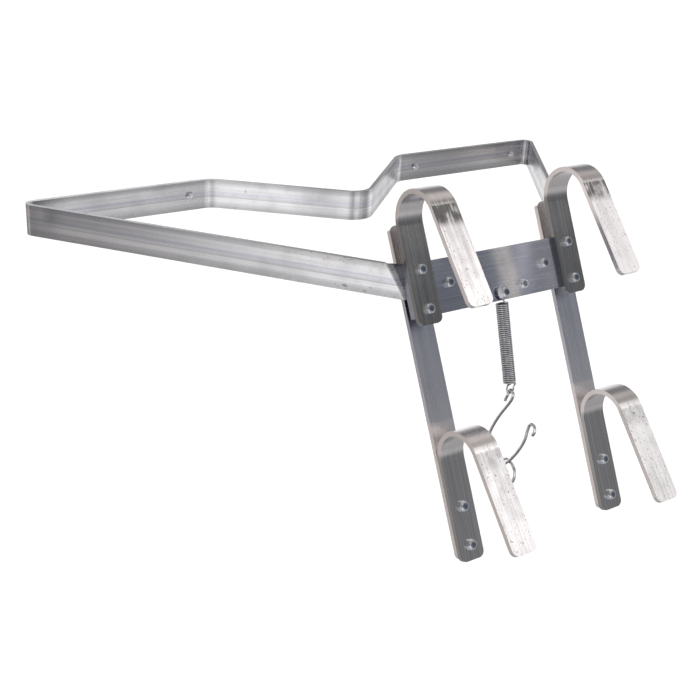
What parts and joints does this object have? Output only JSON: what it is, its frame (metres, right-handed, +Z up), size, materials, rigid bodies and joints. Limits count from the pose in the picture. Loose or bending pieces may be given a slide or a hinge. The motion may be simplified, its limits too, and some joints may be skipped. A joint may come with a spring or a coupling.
{
  "type": "ladder stabilizer",
  "caption": "Flat-bar stand-off frame with rubber-padded wall bars and a corner notch, carried on hooked legs over two ladder rungs and held by a spring-loaded lock hook.",
  "frame": {"origin": "middle of the upper rung's axis, in the bends of the two upper hooks", "axes": "+X runs along the rungs to the climber's right, +Y points at the wall, +Z is up with the wall frame level; legs, plate and hooks lean 26.5 degrees with the ladder"},
  "size_m": [0.949, 0.7204, 0.457],
  "materials": {
    "frame_aluminium": "mill finish, fine drawn grain along the bar",
    "hook_aluminium": "mill finish, scuffed",
    "plate_aluminium": "mill finish, satin",
    "zinc_fastener": "bright zinc plate",
    "zinc_wire": "bright zinc plate",
    "pad_rubber": "matt black"
  },
  "bodies": {
    "stabilizer": {"frame_bar": "frame_aluminium", "cross_plate": "plate_aluminium", "left_leg": "plate_aluminium", "right_leg": "plate_aluminium", "upper_left_hook": "hook_aluminium", "upper_right_hook": "hook_aluminium", "lower_left_hook": "hook_aluminium", "lower_right_hook": "hook_aluminium", "upper_left_hook_bolts": "zinc_fastener", "upper_right_hook_bolts": "zinc_fastener", "lower_left_hook_bolts": "zinc_fastener", "lower_right_hook_bolts": "zinc_fastener", "upper_left_hook_nuts": "zinc_fastener", "upper_right_hook_nuts": "zinc_fastener", "lower_left_hook_nuts": "zinc_fastener", "lower_right_hook_nuts": "zinc_fastener", "left_tab_bolts": "zinc_fastener", "right_tab_bolts": "zinc_fastener", "left_tab_nuts": "zinc_fastener", "right_tab_nuts": "zinc_fastener", "left_wall_pad": "pad_rubber", "right_wall_pad": "pad_rubber", "left_pad_screws": "zinc_fastener", "right_pad_screws": "zinc_fastener", "left_pad_nuts": "zinc_fastener", "right_pad_nuts": "zinc_fastener", "spring_bolt": "zinc_fastener", "spring_washer": "zinc_fastener", "spring_nut": "zinc_fastener"},
    "spring": {"lock_spring": "zinc_wire"},
    "spring_tail": {"spring_end_loop": "zinc_wire"},
    "lock_hook": {"lock_hook": "zinc_wire"}
  },
  "joints": [
    {"name": "spring_swing", "type": "hinge", "parent": "stabilizer", "child": "spring", "pos_m": [0, -0.01263, -0.11405], "axis": [0, 0.8949, -0.4462], "range_deg": [-8, 8]},
    {"name": "spring_stretch", "type": "slide", "parent": "spring", "child": "spring_tail", "axis": [0, 0, -1], "range_m": [0, 0.04], "stiffness_N_per_m": 2600, "springref_m": -0.004, "deforming": ["lock_spring"]},
    {"name": "lock_hook_swing", "type": "hinge", "parent": "spring_tail", "child": "lock_hook", "pos_m": [0, -0.05043, -0.24569], "axis": [1, 0, 0], "range_deg": [-60, 35]}
  ]
}
